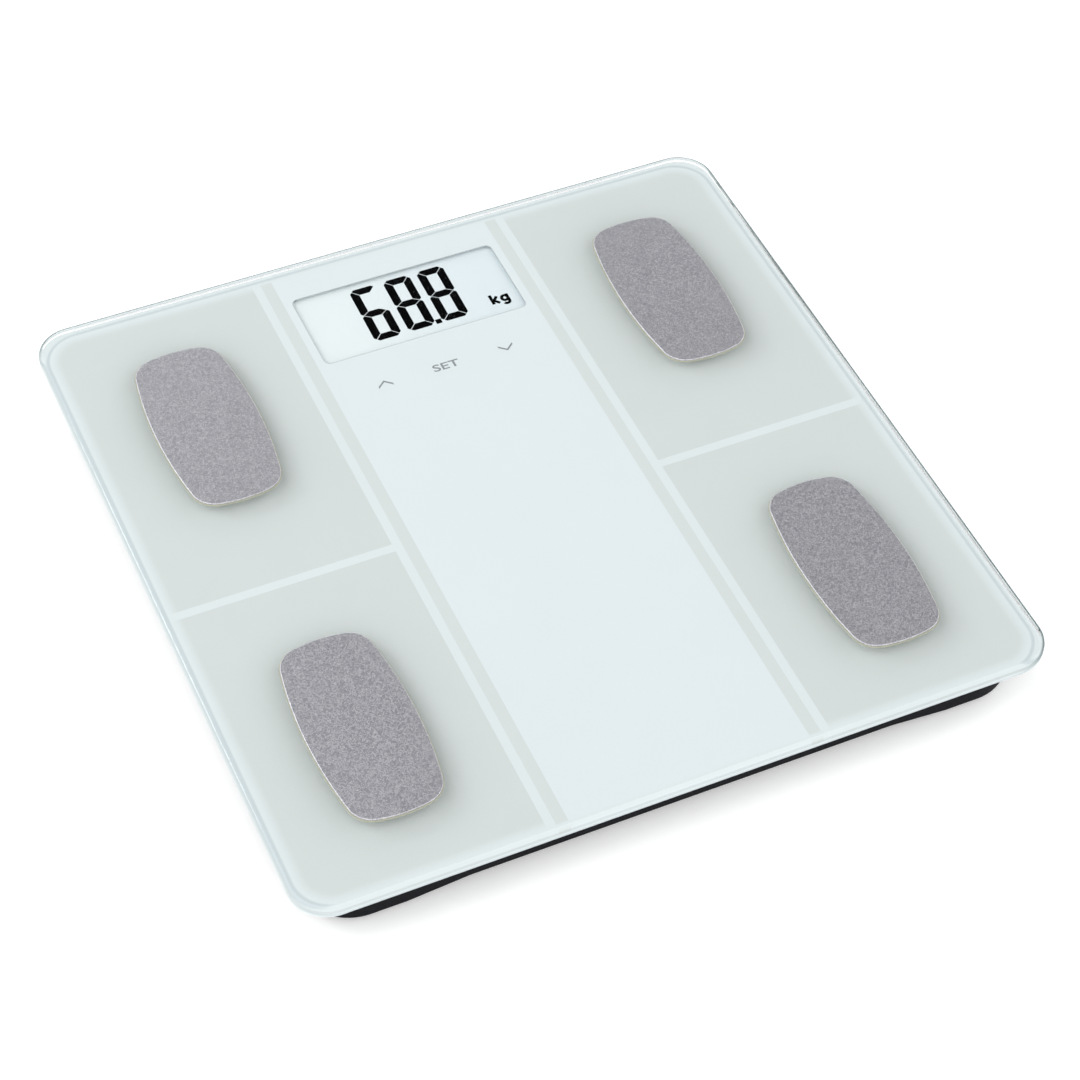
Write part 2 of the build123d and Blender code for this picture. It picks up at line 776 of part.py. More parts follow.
def make_contacts():
    """Leaf springs over the cells, clips at their sides, and a solder tab on each."""
    leaf_top = bay_roof - contact_thickness / 2
    leaf_low = coin_z + coin_thickness + contact_thickness / 2
    with BuildPart() as leaves:
        for x, tab in ((-coin_pitch / 2, tab_places[0]), (coin_pitch / 2, tab_places[2])):
            with BuildSketch(Plane.YZ.offset(x - tab_width / 2)):
                with BuildLine():
                    Polyline(
                        (bay_y + bay_length / 2 - leaf_back_gap, leaf_top),
                        (bay_y + leaf_bend, leaf_top),
                        (bay_y, leaf_low),
                        (bay_y - leaf_tip, leaf_low),
                    )
                trace(line_width=contact_thickness)
            extrude(amount=tab_width)
            with BuildSketch(Plane.XY.offset(bay_roof - contact_thickness)):
                with Locations(((x + tab[0]) / 2, tab_y)):
                    Rectangle(abs(x - tab[0]) + tab_width, tab_width)
            extrude(amount=contact_thickness)
            with BuildSketch(Plane.XY.offset(bay_roof - contact_thickness)):
                with Locations(tab):
                    Rectangle(tab_width, contact_thickness)
            extrude(amount=bay_wall + tab_rise)
    save(leaves, "negative_contacts")
    with BuildPart() as clips:
        for sx, tab in zip((-1, 1), (tab_places[1], tab_places[3])):
            wall_x = bay_width / 2 - contact_thickness / 2
            near_x = coin_pitch / 2 + coin_radius + contact_thickness
            with BuildSketch(Plane.XZ.offset(-bay_y - tab_width / 2)):
                with BuildLine():
                    Polyline(
                        (sx * wall_x, coin_z - clip_drop),
                        (sx * near_x, coin_z + coin_thickness / 2),
                        (sx * wall_x, coin_z + coin_thickness),
                        (sx * wall_x, bay_roof - contact_thickness / 2),
                    )
                trace(line_width=contact_thickness)
            extrude(amount=tab_width)
            strip = tab_y - bay_y + tab_width
            with BuildSketch(Plane.XY.offset(bay_roof - contact_thickness)):
                strip_x = sx * (bay_width - tab_width) / 2
                with Locations((strip_x, bay_y + (strip - tab_width) / 2)):
                    Rectangle(tab_width, strip)
                with Locations(((sx * bay_width / 2 + tab[0]) / 2, tab_y)):
                    Rectangle(abs(sx * bay_width / 2 - tab[0]), tab_width)
                with Locations(tab):
                    Rectangle(tab_width, tab_width)
            extrude(amount=contact_thickness)
            with BuildSketch(Plane.XY.offset(bay_roof - contact_thickness)):
                with Locations(tab):
                    Rectangle(tab_width, contact_thickness)
            extrude(amount=bay_wall + tab_rise)
    save(clips, "positive_contacts")


def make_battery_door():
    """Door with a rounded hinge edge, two hinge pins, press pads and a latch tongue."""
    with BuildPart() as battery_door:
        with BuildSketch(Plane.XY.offset(middle_z)):
            plate_length = door_length - door_thickness / 2
            with Locations((0, hinge_y + plate_length / 2)):
                Rectangle(door_width, plate_length)
        extrude(amount=door_thickness)
        with BuildSketch(Plane.YZ.offset(-door_width / 2)):
            with Locations((hinge_y, hinge_z)):
                Circle(door_thickness / 2)
        extrude(amount=door_width)
        pin_span = door_width + 2 * (door_gap + hinge_pin_reach - fine_gap)
        with BuildSketch(Plane.YZ.offset(-pin_span / 2)):
            with Locations((hinge_y, hinge_z)):
                Circle(hinge_pin)
        extrude(amount=pin_span)
        with BuildSketch(Plane.XY.offset(door_top)):
            with Locations(*coin_places):
                Rectangle(coin_radius, coin_radius)
        extrude(amount=press_pad)
        # Two slots free a springy tongue at the edge away from the hinge.
        with BuildSketch(Plane.XY.offset(middle_z)):
            edge_y = bay_y + door_length / 2
            slot_x = latch_width / 2
            slot_y = edge_y - latch_length / 2
            with Locations((-slot_x, slot_y), (slot_x, slot_y)):
                Rectangle(latch_slot, latch_length)
        extrude(amount=door_thickness, mode=Mode.SUBTRACT)
    save(battery_door, "battery_door")


# ---- Leads --------------------------------------------------------------------------


def bundle(routes, diameter):
    """Leads swept along straight runs joined by tangent arcs, one solid each."""
    with BuildPart() as leads:
        for points, bends in routes:
            with BuildLine() as path:
                FilletPolyline(*points, radius=bends)
            with BuildSketch(Plane(path.line @ 0, z_dir=path.line % 0)):
                Circle(diameter / 2)
            sweep(path=path.line)
    return leads


def make_leads():
    """Leads of the load cells, the electrodes and the coin cells, to the board."""
    low = rib_top + cell_lead / 2 + fine_gap
    over_board = board_top + lead_over_board
    socket_y = board_front_y + socket_past_edge
    near_step, far_step = front_socket_steps
    board_x = board_width / 2
    inner_x = rib_x - rest_radius - 3.0
    front_y = rib_rows[0] - 22.0  # clear of the front glass rests
    cell_routes = []
    electrode_routes = []
    for sx in (-1, 1):
        gauge_y = foot_y - cell_tongue / 2 - gauge_width / 2
        gauge_z = cell_top + cell_lead / 2 + fine_gap
        side_y = gauge_y - cell_socket_shift
        cell_routes.append(
            (
                [
                    (sx * foot_x, gauge_y, gauge_z),
                    (sx * foot_x, gauge_y - 9, low),
                    (sx * (foot_x - 20), gauge_y - 16, low),
                    (sx * (board_x + 8), side_y, over_board),
                    (sx * (board_x - socket_depth), side_y, over_board),
                ],
                4.0,
            )
        )
        cell_routes.append(
            (
                [
                    (sx * foot_x, -gauge_y, gauge_z),
                    (sx * foot_x, -gauge_y + 9, low),
                    (sx * (rib_x + 14), front_y, low),
                    (sx * (inner_x - 4), front_y + 2, low),
                    (sx * (inner_x - 8), front_y + 30, low),
                    (sx * (inner_x - 8), rib_rows[2] - 14, low),
                    (sx * (board_x - far_step), rib_rows[2] - 2, over_board),
                    (sx * (board_x - far_step), socket_y, over_board),
                ],
                4.0,
            )
        )
        tag_x = electrode_offset - tag_tail
        lead_z = tag_z - electrode_lead / 2
        side_y = back_electrode_y + electrode_socket_shift
        electrode_routes.append(
            (
                [
                    (sx * (tag_x + 2), back_electrode_y, lead_z),
                    (sx * (tag_x - 8), back_electrode_y, lead_z),
                    (sx * (board_x + 6), side_y, over_board),
                    (sx * (board_x - socket_depth), side_y, over_board),
                ],
                3.0,
            )
        )
        electrode_routes.append(
            (
                [
                    (sx * (tag_x + 2), front_electrode_y, lead_z),
                    (sx * (tag_x - 8), front_electrode_y, lead_z),
                    (sx * (inner_x + 4), front_electrode_y, low),
                    (sx * inner_x, front_electrode_y + 14, low),
                    (sx * inner_x, rib_rows[2] - 16, low),
                    (sx * (board_x - near_step), rib_rows[2] - 2, over_board),
                    (sx * (board_x - near_step), socket_y, over_board),
                ],
                3.0,
            )
        )
    battery_routes = []
    for x, y in tab_places:
        start_z = bay_top + tab_rise / 2
        battery_routes.append(
            (
                [
                    (x, y + contact_thickness / 2, start_z),
                    (x, y + 6, start_z),
                    (x, board_front_y - 5, over_board),
                    (x, socket_y, over_board),
                ],
                2.5,
            )
        )
    save(bundle(cell_routes, cell_lead), "load_cell_leads")
    save(bundle(electrode_routes, electrode_lead), "electrode_leads")
    save(bundle(battery_routes, battery_lead), "battery_leads")
    front_x = [sx * (board_x - step) for sx in (-1, 1) for step in front_socket_steps]
    front_x += [x for x, y in tab_places]
    cell_row = foot_y - cell_tongue / 2 - gauge_width / 2 - cell_socket_shift
    side_rows = (cell_row, back_electrode_y + electrode_socket_shift)
    with BuildPart() as lead_sockets:
        with BuildSketch(Plane.XY.offset(board_top)):
            with Locations(*[(x, socket_y + socket_depth / 2) for x in front_x]):
                Rectangle(front_socket_width, socket_depth)
            side_x = board_x - 1.5 * socket_depth
            with Locations(*[(sx * side_x, y) for sx in (-1, 1) for y in side_rows]):
                Rectangle(socket_depth, socket_width)
        extrude(amount=socket_height)
    save(lead_sockets, "lead_sockets")


# ---- Everything ---------------------------------------------------------------------

make_glass_platform()
make_back_print()
make_electrodes()
make_electrode_fixings()
make_base_tray()
make_bonding_tape()
for corner, (side_x, side_y) in corners.items():
    make_foot(corner, side_x, side_y)
    make_load_cell(corner, side_x, side_y)
    make_cell_seat(corner, side_x, side_y)
make_strain_gauges()
make_screws("seat_screws", ear_places, cell_z, ear_thickness)
make_display()
make_main_board()
make_screws("board_screws", board_screw_places, board_top, board_thickness)
make_unit_button()
make_coin_cells()
make_contacts()
make_battery_door()
make_leads()
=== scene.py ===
import json
import math
import bpy
import numpy as np
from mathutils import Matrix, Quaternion, Vector


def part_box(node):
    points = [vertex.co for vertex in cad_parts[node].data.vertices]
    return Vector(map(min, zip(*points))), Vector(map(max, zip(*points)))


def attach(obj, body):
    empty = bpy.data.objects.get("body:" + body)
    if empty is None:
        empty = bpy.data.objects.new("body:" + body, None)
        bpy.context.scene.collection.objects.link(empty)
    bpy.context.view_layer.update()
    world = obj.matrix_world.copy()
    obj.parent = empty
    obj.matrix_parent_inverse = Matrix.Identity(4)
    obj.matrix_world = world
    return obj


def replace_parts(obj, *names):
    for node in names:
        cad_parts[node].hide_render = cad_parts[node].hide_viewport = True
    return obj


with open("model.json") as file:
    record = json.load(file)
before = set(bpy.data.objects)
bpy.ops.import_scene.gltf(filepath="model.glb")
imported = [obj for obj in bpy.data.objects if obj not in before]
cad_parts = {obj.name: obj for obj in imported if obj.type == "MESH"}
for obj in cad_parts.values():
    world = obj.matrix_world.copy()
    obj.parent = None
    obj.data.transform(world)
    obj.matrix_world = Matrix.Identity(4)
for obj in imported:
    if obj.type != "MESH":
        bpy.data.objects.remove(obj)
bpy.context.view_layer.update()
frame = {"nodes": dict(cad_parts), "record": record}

nodes = frame["nodes"]
mm = 0.001
print("frame loaded:", len(nodes), "nodes")

# small helpers for shader trees


def addNode(tree, kind, inputs=None, **settings):
    # one node, with its settings, and each input either linked or given a value
    node = tree.nodes.new(kind)
    for key, value in settings.items():
        setattr(node, key, value)
    for key, value in (inputs or {}).items():
        if isinstance(value, bpy.types.NodeSocket):
            tree.links.new(value, node.inputs[key])
        else:
            node.inputs[key].default_value = value
    return node


def mathNode(tree, operation, first, second=0.0, third=0.0):
    return addNode(tree, "ShaderNodeMath", {0: first, 1: second, 2: third}, operation=operation).outputs[0]


def vectorNode(tree, operation, first, second=(0, 0, 0)):
    return addNode(tree, "ShaderNodeVectorMath", {0: first, 1: second}, operation=operation)


def rampTo(tree, value, start, end, low=0.0, high=1.0):
    # smooth step from low at start to high at end
    node = addNode(tree, "ShaderNodeMapRange", {
        "Value": value, "From Min": start, "From Max": end, "To Min": low, "To Max": high,
    }, interpolation_type="SMOOTHSTEP")
    return node.outputs["Result"]


def mixColour(tree, factor, first, second):
    # the colour sockets of the mix node share their names with its other sockets, so they go by number
    node = addNode(tree, "ShaderNodeMix", data_type="RGBA")
    for socket, value in ((node.inputs[0], factor), (node.inputs[6], first), (node.inputs[7], second)):
        if isinstance(value, bpy.types.NodeSocket):
            tree.links.new(value, socket)
        else:
            socket.default_value = value
    return node.outputs[2]


def tint(red, green, blue):
    # a screen colour from 0 to 255 as the linear colour that the nodes use
    share = np.array([red, green, blue]) / 255
    linear = np.where(share <= 0.04045, share / 12.92, ((share + 0.055) / 1.055) ** 2.4)
    return tuple(float(v) for v in linear) + (1.0,)


def newGroup(name, ins, outs):
    group = bpy.data.node_groups.new(name, "ShaderNodeTree")
    for title, kind, value in ins:
        socket = group.interface.new_socket(title, in_out="INPUT", socket_type=kind)
        if value is not None:
            socket.default_value = value
    for title, kind in outs:
        group.interface.new_socket(title, in_out="OUTPUT", socket_type=kind)
    return group, group.nodes.new("NodeGroupInput").outputs, group.nodes.new("NodeGroupOutput").inputs


def setGroup(tree, group, inputs):
    return addNode(tree, "ShaderNodeGroup", inputs, node_tree=group)


def drift(tree, place, colour, cloud, cloudSpread, fleck, fleckSpread):
    # the toneDrift group on a colour, its sizes given in mm
    return setGroup(tree, toneDrift, {
        "Place": place, "Colour": colour, "Cloud Size": cloud * mm, "Cloud Spread": cloudSpread,
        "Fleck Size": fleck * mm, "Fleck Spread": fleckSpread,
    }).outputs["Colour"]


def newMaterial(name):
    material = bpy.data.materials.new(name)
    material.use_nodes = True
    tree = material.node_tree
    tree.nodes.clear()
    shader = tree.nodes.new("ShaderNodeBsdfPrincipled")
    output = tree.nodes.new("ShaderNodeOutputMaterial")
    tree.links.new(shader.outputs[0], output.inputs["Surface"])
    place = tree.nodes.new("ShaderNodeTexCoord").outputs["Object"]
    return material, tree, shader, output, place


# effects that finishes share


def buildToneDrift():
    # slow, cloudy change of tone over the surface, and a finer fleck on top of it
    group, given, out = newGroup("toneDrift", [
        ("Place", "NodeSocketVector", None), ("Colour", "NodeSocketColor", (0.5, 0.5, 0.5, 1)),
        ("Cloud Size", "NodeSocketFloat", 0.05), ("Cloud Spread", "NodeSocketFloat", 0.03),
        ("Fleck Size", "NodeSocketFloat", 0.001), ("Fleck Spread", "NodeSocketFloat", 0.02),
    ], [("Colour", "NodeSocketColor")])
    total = None
    for size, spread, detail in (("Cloud Size", "Cloud Spread", 2.0), ("Fleck Size", "Fleck Spread", 1.0)):
        scale = mathNode(group, "DIVIDE", 1.0, given[size])
        noise = addNode(group, "ShaderNodeTexNoise", {
            "Vector": given["Place"], "Scale": scale, "Detail": detail,
        })
        around = mathNode(group, "SUBTRACT", noise.outputs["Fac"], 0.5)
        part = mathNode(group, "MULTIPLY", mathNode(group, "MULTIPLY", around, 2.0), given[spread])
        total = part if total is None else mathNode(group, "ADD", total, part)
    gain = mathNode(group, "ADD", total, 1.0)
    scaled = addNode(group, "ShaderNodeVectorMath", {0: given["Colour"], "Scale": gain}, operation="SCALE")
    group.links.new(scaled.outputs[0], out["Colour"])
    return group


grainShape = dict(toothScale=3.0, maskFrom=0.15, maskTo=0.7)


def buildMouldGrain():
    # spark-eroded texture of a moulding tool: small rounded pits with finer tooth between them
    group, given, out = newGroup("mouldGrain", [
        ("Place", "NodeSocketVector", None), ("Size", "NodeSocketFloat", 0.0006),
        ("Tooth", "NodeSocketFloat", 0.4),
    ], [("Height", "NodeSocketFloat"), ("Mask", "NodeSocketFloat")])
    scale = mathNode(group, "DIVIDE", 1.0, given["Size"])
    pits = addNode(group, "ShaderNodeTexVoronoi", {
        "Vector": given["Place"], "Scale": scale,
    }, feature="SMOOTH_F1")
    fine = addNode(group, "ShaderNodeTexNoise", {
        "Vector": given["Place"], "Detail": 2.0,
        "Scale": mathNode(group, "MULTIPLY", scale, grainShape["toothScale"]),
    })
    tooth = mathNode(group, "MULTIPLY", fine.outputs["Fac"], given["Tooth"])
    group.links.new(mathNode(group, "ADD", pits.outputs["Distance"], tooth), out["Height"])
    mask = rampTo(group, pits.outputs["Distance"], grainShape["maskFrom"], grainShape["maskTo"])
    group.links.new(mask, out["Mask"])
    return group


ridgeShape = dict(width=0.07, gritScale=3.1, gritFrom=0.35, gritTo=0.7, ridgeShare=0.6, gritShare=0.4)


def buildBlastRidges():
    # bead-blasted steel: thin bright wandering ridges where a noise crosses its middle, and finer grit
    group, given, out = newGroup("blastRidges", [
        ("Place", "NodeSocketVector", None), ("Size", "NodeSocketFloat", 0.001),
        ("Warp", "NodeSocketFloat", 0.6),
    ], [("Ridge", "NodeSocketFloat")])
    scale = mathNode(group, "DIVIDE", 1.0, given["Size"])
    broad = addNode(group, "ShaderNodeTexNoise", {
        "Vector": given["Place"], "Scale": scale, "Detail": 2.0, "Distortion": given["Warp"],
    })
    crossing = mathNode(group, "ABSOLUTE", mathNode(group, "SUBTRACT", broad.outputs["Fac"], 0.5))
    ridge = rampTo(group, crossing, 0.0, ridgeShape["width"], 1.0, 0.0)
    fine = addNode(group, "ShaderNodeTexNoise", {
        "Vector": given["Place"], "Detail": 1.0,
        "Scale": mathNode(group, "MULTIPLY", scale, ridgeShape["gritScale"]),
    })
    grit = rampTo(group, fine.outputs["Fac"], ridgeShape["gritFrom"], ridgeShape["gritTo"])
    gritPart = mathNode(group, "MULTIPLY", grit, ridgeShape["gritShare"])
    both = mathNode(group, "MULTIPLY_ADD", ridge, ridgeShape["ridgeShare"], gritPart)
    group.links.new(both, out["Ridge"])
    return group


def buildDrawnLines():
    # fine parallel lines along y, as a brushed or drawn surface has
    group, given, out = newGroup("drawnLines", [
        ("Place", "NodeSocketVector", None), ("Size", "NodeSocketFloat", 0.0003),
    ], [("Lines", "NodeSocketFloat")])
    scale = mathNode(group, "DIVIDE", 1.0, given["Size"])
    alongShare = 0.04  # the noise is drawn out 25 times along y
    stretched = vectorNode(group, "MULTIPLY", given["Place"], (1.0, alongShare, 1.0)).outputs[0]
    noise = addNode(group, "ShaderNodeTexNoise", {"Vector": stretched, "Scale": scale, "Detail": 3.0})
    group.links.new(noise.outputs["Fac"], out["Lines"])
    return group


def buildEdgeInset():
    # distance inwards from a rounded rectangle: its corner radius less the distance outside its core
    group, given, out = newGroup("edgeInset", [
        ("Place", "NodeSocketVector", None), ("Middle", "NodeSocketVector", (0, 0, 0)),
        ("Core", "NodeSocketVector", (0, 0, 0)), ("Corner", "NodeSocketFloat", 0.01),
    ], [("Inset", "NodeSocketFloat")])
    moved = vectorNode(group, "SUBTRACT", given["Place"], given["Middle"]).outputs[0]
    size = vectorNode(group, "ABSOLUTE", moved).outputs[0]
    flat = vectorNode(group, "MULTIPLY", size, (1, 1, 0)).outputs[0]
    past = vectorNode(group, "SUBTRACT", flat, given["Core"]).outputs[0]
    outside = vectorNode(group, "MAXIMUM", past, (0, 0, 0)).outputs[0]
    length = vectorNode(group, "LENGTH", outside).outputs["Value"]
    group.links.new(mathNode(group, "SUBTRACT", given["Corner"], length), out["Inset"])
    return group


def insetFrom(tree, place, halfX, halfY, corner, middleY=0.0):
    return setGroup(tree, edgeInset, {
        "Place": place, "Middle": (0, middleY, 0), "Core": (halfX - corner, halfY - corner, 0),
        "Corner": corner,
    }).outputs["Inset"]


toneDrift = buildToneDrift()
mouldGrain = buildMouldGrain()
blastRidges = buildBlastRidges()
drawnLines = buildDrawnLines()
edgeInset = buildEdgeInset()
print("shared effects ready")

# plain finishes by the record's slot; steel pads, print, glass and lit panel have their own below
# grain and lines are sizes in mm, depth is the bump's height in mm

slotDrift = dict(cloud=30, cloudSpread=0.05, fleck=0.7, fleckSpread=0.04)
slotBump = dict(strength=0.6, linesDepth=0.02, roughSpread=0.06)
slotFinish = {
    "gasket": dict(colour=(180, 180, 158), rough=0.5, grain=0.4, depth=0.01),
    "fixings": dict(colour=(196, 197, 198), rough=0.32, metal=1.0, lines=0.25),
    "tray": dict(colour=(17, 18, 22), rough=0.5, grain=0.55, depth=0.02, cloud=0.08, gloss=0.03),
    "tape": dict(colour=(226, 226, 220), rough=0.9, grain=0.5, depth=0.08),
    "cell_steel": dict(colour=(188, 190, 193), rough=0.34, metal=1.0, lines=0.4),
    "gauge": dict(colour=(238, 238, 230), rough=0.45, grain=0.8, depth=0.03),
    "seat": dict(colour=(54, 54, 58), rough=0.5, grain=0.5, depth=0.02),
    "foot_plastic": dict(colour=(44, 45, 49), rough=0.5, grain=0.5, depth=0.02, cloud=0.06),
    "foot_rubber": dict(colour=(66, 66, 69), rough=0.85, grain=0.9, depth=0.08, cloud=0.1),
    "white_plastic": dict(colour=(238, 240, 241), rough=0.35, grain=0.6, depth=0.01),
    "diffuser": dict(colour=(242, 246, 248), rough=0.3, grain=1.2, depth=0.02),
    "zebra": dict(colour=(205, 170, 172), rough=0.7, lines=0.2),
    "board": dict(colour=(30, 104, 62), rough=0.38, grain=1.4, depth=0.02, cloud=0.1),
    "chips": dict(colour=(38, 38, 40), rough=0.55, grain=0.4, depth=0.03),
    "socket": dict(colour=(232, 228, 214), rough=0.42, grain=0.6, depth=0.02),
    "contact": dict(colour=(222, 196, 138), rough=0.3, metal=1.0, lines=0.3),
    "key_foam": dict(colour=(82, 82, 85), rough=0.95, grain=0.7, depth=0.12),
    "switch": dict(colour=(40, 40, 42), rough=0.35, grain=0.5, depth=0.02),
    "button": dict(colour=(128, 130, 134), rough=0.42, grain=0.45, depth=0.02),
    "coin": dict(colour=(206, 207, 209), rough=0.24, metal=1.0, lines=0.5),
    "cell_lead": dict(colour=(198, 198, 199), rough=0.5, grain=0.8, depth=0.02),
    "electrode_lead": dict(colour=(192, 44, 40), rough=0.5, grain=0.8, depth=0.02),
    "battery_lead": dict(colour=(42, 42, 44), rough=0.5, grain=0.8, depth=0.02),
}


def slotMaterial(name, finish):
    # colour with slow drift and fleck, then either moulded grain or drawn lines for bump and roughness
    material, tree, shader, output, place = newMaterial(name)
    clouds = slotDrift | dict(cloudSpread=finish.get("cloud", slotDrift["cloudSpread"]))
    colour = drift(tree, place, tint(*finish["colour"]), **clouds)
    if "lines" in finish:
        height = setGroup(tree, drawnLines, {"Place": place, "Size": finish["lines"] * mm}).outputs["Lines"]
        mask, depth = height, slotBump["linesDepth"]
    else:
        grain = setGroup(tree, mouldGrain, {"Place": place, "Size": finish["grain"] * mm}).outputs
        height, mask, depth = grain["Height"], grain["Mask"], finish["depth"]
    bump = addNode(tree, "ShaderNodeBump", {
        "Height": height, "Strength": slotBump["strength"], "Distance": depth * mm,
    })
    rough, spread = finish["rough"], slotBump["roughSpread"]
    tree.links.new(colour, shader.inputs["Base Color"])
    roughness = rampTo(tree, mask, 0.0, 1.0, rough - spread, rough + spread)
    tree.links.new(roughness, shader.inputs["Roughness"])
    tree.links.new(bump.outputs[0], shader.inputs["Normal"])
    shader.inputs["Metallic"].default_value = finish.get("metal", 0.0)
    shader.inputs["Specular IOR Level"].default_value = finish.get("gloss", 0.5)
    return material


# electrodes: bead-blasted stainless steel

electrodeLook = dict(
    base=(188, 188, 196), crest=(228, 228, 232),
    ridge=1.4, relief=0.05,  # mm across and high
    warp=0.8, bump=0.5, rough=0.44, roughSpread=0.02,
)
electrodeDrift = dict(cloud=12, cloudSpread=0.07, fleck=0.5, fleckSpread=0.05)


def electrodeMaterial():
    material, tree, shader, output, place = newMaterial("blastedSteel")
    look = electrodeLook
    ridge = setGroup(tree, blastRidges, {
        "Place": place, "Size": look["ridge"] * mm, "Warp": look["warp"],
    }).outputs["Ridge"]
    plain = drift(tree, place, tint(*look["base"]), **electrodeDrift)
    colour = mixColour(tree, ridge, plain, tint(*look["crest"]))
    bump = addNode(tree, "ShaderNodeBump", {
        "Height": ridge, "Strength": look["bump"], "Distance": look["relief"] * mm,
    })
    rough, spread = look["rough"], look["roughSpread"]
    tree.links.new(colour, shader.inputs["Base Color"])
    roughness = rampTo(tree, ridge, 0.0, 1.0, rough - spread, rough + spread)
    tree.links.new(roughness, shader.inputs["Roughness"])
    tree.links.new(bump.outputs[0], shader.inputs["Normal"])
    shader.inputs["Metallic"].default_value = 1.0
    return material


# printed film under the glass

printLook = dict(
    quadrant=(205, 210, 209), frame=(216, 222, 223), stripe=(208, 213, 212), panel=(217, 223, 225),
    rimShadeLine=(196, 205, 208), outline=(186, 194, 197),
    # all sizes below are in mm
    panelHalf=47.9, stripeHalf=52.7, lineHalf=56.3,  # from the middle to each edge across the plate
    crossMiddle=-6.2, crossWidth=3.65,
    crisp=0.15,  # softness of the printed edges
    endInset=4.8, endSoft=1.2,  # plate edge to the ends of the stripes and the middle panel
    rimFrom=2.3, rimTo=3.5, rimSoft=0.9,  # plate edge to the painted shade line round the print, a soft grey ring standing in for the dark seen through the clear glass edge
    outlineWidth=0.35, outlineSoft=0.1,  # hairline round the display window
    fadeStart=3.8, fadeEnd=8.8,  # plate edge to where a quadrant starts and has its full colour; nearer the edge the lighter frame tone is painted light, standing in for the bright band that the glass edge refracts
    fadeCorner=3.0,  # how much rounder than the plate's own corners the painted edge light and the painted shade line are
    lift=0.03,  # the ink is bedded in the glass's lower face
    lap=0.9,  # how far the ink runs out over the rounded rim
)
printDrift = dict(cloud=30, cloudSpread=0.012, fleck=1.2, fleckSpread=0.012)
printRough = 0.7


def printMaterial(halfX, halfY, corner):
    material, tree, shader, output, place = newMaterial("pearlPrint")
    look = {
        key: tint(*value) if isinstance(value, tuple) else value * mm
        for key, value in printLook.items()
    }
    axes = addNode(tree, "ShaderNodeSeparateXYZ", {0: place}).outputs
    across = mathNode(tree, "ABSOLUTE", axes["X"])
    along = mathNode(tree, "ABSOLUTE", mathNode(tree, "SUBTRACT", axes["Y"], look["crossMiddle"]))
    fromEnd = mathNode(tree, "SUBTRACT", halfY, mathNode(tree, "ABSOLUTE", axes["Y"]))
    inset = insetFrom(tree, place, halfX, halfY, corner)

    def beyond(value, edge, soft=look["crisp"]):
        return rampTo(tree, value, edge - soft / 2, edge + soft / 2)

    # painted light: the quadrants give way to the lighter frame tone near the plate edge, standing in for
    # the bright band that the glass edge refracts
    pastPaintedEdgeLight = rampTo(tree, inset, look["fadeStart"], look["fadeEnd"])
    beside, offCross = beyond(across, look["lineHalf"]), beyond(along, look["crossWidth"] / 2)
    quadrant = mathNode(tree, "MULTIPLY", mathNode(tree, "MULTIPLY", beside, offCross), pastPaintedEdgeLight)
    ends = beyond(fromEnd, look["endInset"], look["endSoft"])
    offPanel, offStripe = beyond(across, look["panelHalf"]), beyond(across, look["stripeHalf"])
    stripe = mathNode(tree, "MULTIPLY", mathNode(tree, "SUBTRACT", offPanel, offStripe), ends)
    panel = mathNode(tree, "MULTIPLY", mathNode(tree, "SUBTRACT", 1.0, offPanel), ends)
    colour = mixColour(tree, quadrant, look["frame"], look["quadrant"])
    colour = mixColour(tree, stripe, colour, look["stripe"])
    colour = mixColour(tree, panel, colour, look["panel"])
    # painted shade: a soft grey ring near the plate edge, standing in for the dark seen through the glass
    # edge
    rimShadeOuter = beyond(inset, look["rimFrom"], look["rimSoft"])
    rimShadeInner = beyond(inset, look["rimTo"], look["rimSoft"])
    colour = mixColour(tree, mathNode(tree, "SUBTRACT", rimShadeOuter, rimShadeInner), colour, look["rimShadeLine"])
    hole = insetFrom(tree, place, *window["half"], window["corner"], windowMiddle[1])
    outline = beyond(hole, -look["outlineWidth"], look["outlineSoft"])
    colour = mixColour(tree, outline, colour, look["outline"])
    colour = drift(tree, place, colour, **printDrift)
    tree.links.new(colour, shader.inputs["Base Color"])
    shader.inputs["Roughness"].default_value = printRough
    shader.inputs["Specular IOR Level"].default_value = 0.0  # no second gloss under the glass
    return material


# glass

glassLook = dict(
    body=(252, 254, 254), shade=(253, 255, 255), ior=1.52,
    edgeSteps=12, cornerSteps=32,  # faces round the edge and round each corner
    support=1.4,  # mm of flat face kept next to the round edge
    # painted shade: a dark teal tone mixed into the rim where it turns away, standing in for the shade and
    # dark surroundings that the glass edge shows
    rim=(74, 98, 100), rimShare=0.8,
    rimStart=0.6,  # the rim has its full painted shade outside this share of the round edge
    rimFrom=-0.4, rimTo=0.2,  # mm above the middle of the glass's thickness
    turnFrom=0.2, turnTo=0.5,  # the rim turns dark between these shares of facing away
    nearShare=0.2, diagonalFrom=-20, diagonalTo=5,  # mm over which the painted shade grows from nearShare to full
)
glassDrift = dict(cloud=80, cloudSpread=0.006, fleck=4.0, fleckSpread=0.0)


